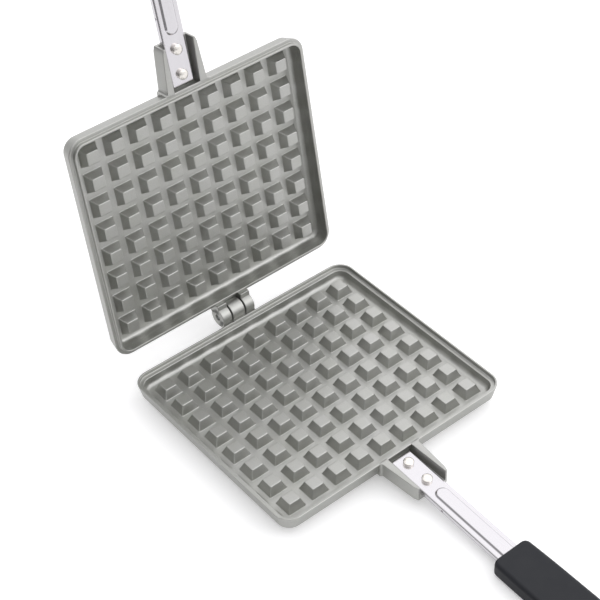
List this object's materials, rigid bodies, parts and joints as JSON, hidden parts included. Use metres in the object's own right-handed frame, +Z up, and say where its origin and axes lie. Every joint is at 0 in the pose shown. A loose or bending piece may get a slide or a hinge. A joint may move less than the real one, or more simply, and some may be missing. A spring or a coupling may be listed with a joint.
{
  "type": "stovetop waffle iron",
  "caption": "Hinged stovetop waffle iron standing open: studded cast plates, riveted steel bars, black grips, a wire closing bail.",
  "frame": {"origin": "centre of the lower plate's heating pad, on the face it stands on", "axes": "+Z up from the hob, +X along the hinge, -Y along the lower handle"},
  "size_m": [0.1584, 0.4225, 0.3665],
  "materials": {
    "cast_plate": "cast aluminium with a satin dark grey non-stick coating",
    "polished_bar": "pressed sheet, polished bright",
    "rivet_steel": "headed and polished bright",
    "black_grip": "moulded phenolic, satin",
    "plated_steel": "zinc plated, dull bright"
  },
  "bodies": {
    "lower": {"lower_plate": "cast_plate", "lower_bar": "polished_bar", "lower_inner_rivet": "rivet_steel", "lower_outer_rivet": "rivet_steel", "lower_grip": "black_grip", "lower_front_nut": "plated_steel", "lower_rear_nut": "plated_steel", "lower_front_screw": "plated_steel", "lower_rear_screw": "plated_steel", "hinge_pin": "plated_steel"},
    "upper": {"upper_plate": "cast_plate", "upper_bar": "polished_bar", "upper_inner_rivet": "rivet_steel", "upper_outer_rivet": "rivet_steel", "upper_grip": "black_grip", "upper_front_nut": "plated_steel", "upper_rear_nut": "plated_steel", "upper_front_screw": "plated_steel", "upper_rear_screw": "plated_steel", "bail_sleeve": "plated_steel"},
    "bail": {"closing_bail": "plated_steel"}
  },
  "joints": [
    {"name": "plate_hinge", "type": "hinge", "parent": "lower", "child": "upper", "pos_m": [0, 0.0774, 0.017], "axis": [1, 0, 0], "range_deg": [0, 98.7]},
    {"name": "bail_hinge", "type": "hinge", "parent": "upper", "child": "bail", "pos_m": [0, 0.13981, 0.35808], "axis": [1, 0, 0], "range_deg": [0, 251.76]}
  ]
}
